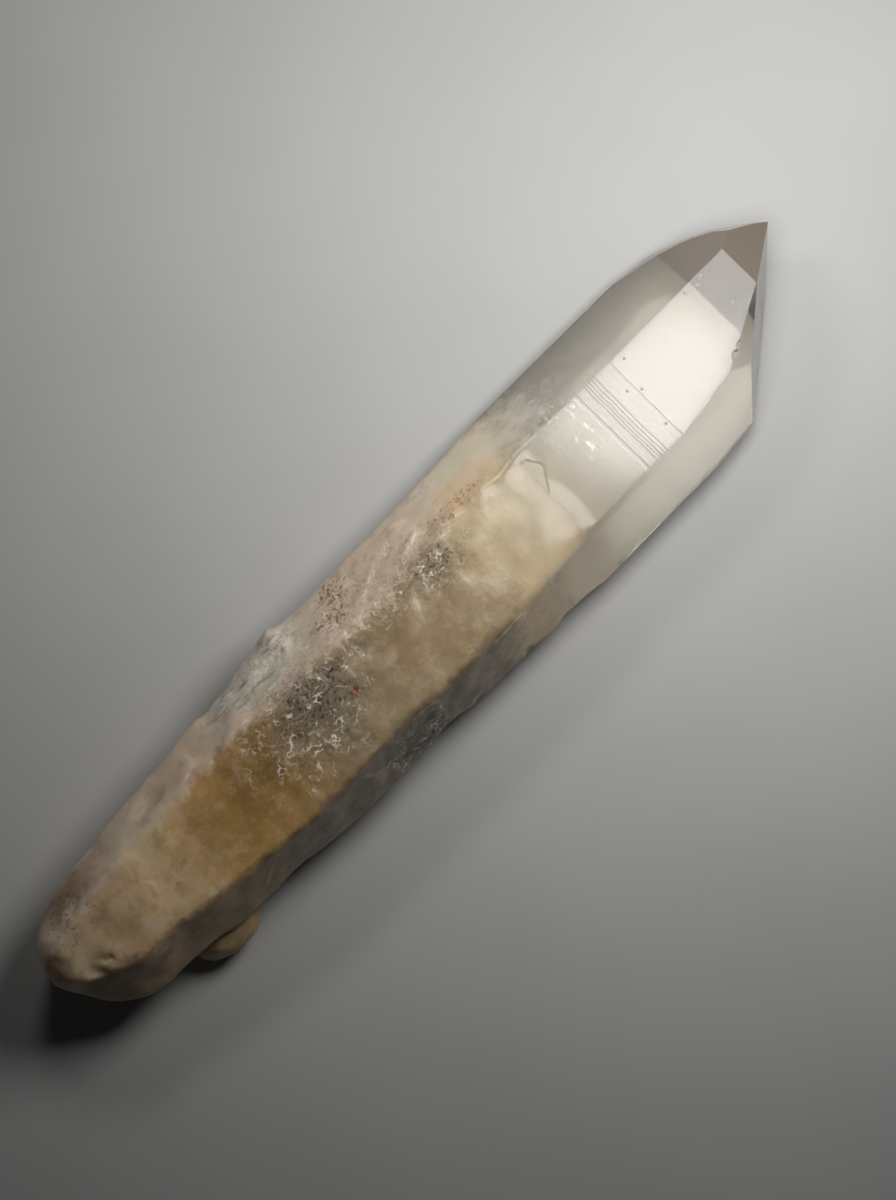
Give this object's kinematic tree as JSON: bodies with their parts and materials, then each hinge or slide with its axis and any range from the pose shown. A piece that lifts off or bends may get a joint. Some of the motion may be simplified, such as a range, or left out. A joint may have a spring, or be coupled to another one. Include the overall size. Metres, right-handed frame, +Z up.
{
  "type": "quartz crystal point",
  "caption": "Natural quartz point lying on its broad prism face: clear flat-faced tip, rough milky brown trunk and worn base, for display or as a mineral prop.",
  "frame": {"origin": "centre of the footprint, on the surface that the crystal lies on", "axes": "+X along the crystal from the worn base to the tip, +Y across it, +Z up"},
  "size_m": [0.27, 0.055, 0.035],
  "materials": {
    "quartz": "clear and glossy at the tip, frosted and stained on the rough trunk"
  },
  "bodies": {
    "root": {"crystal": "quartz"}
  },
  "joints": []
}
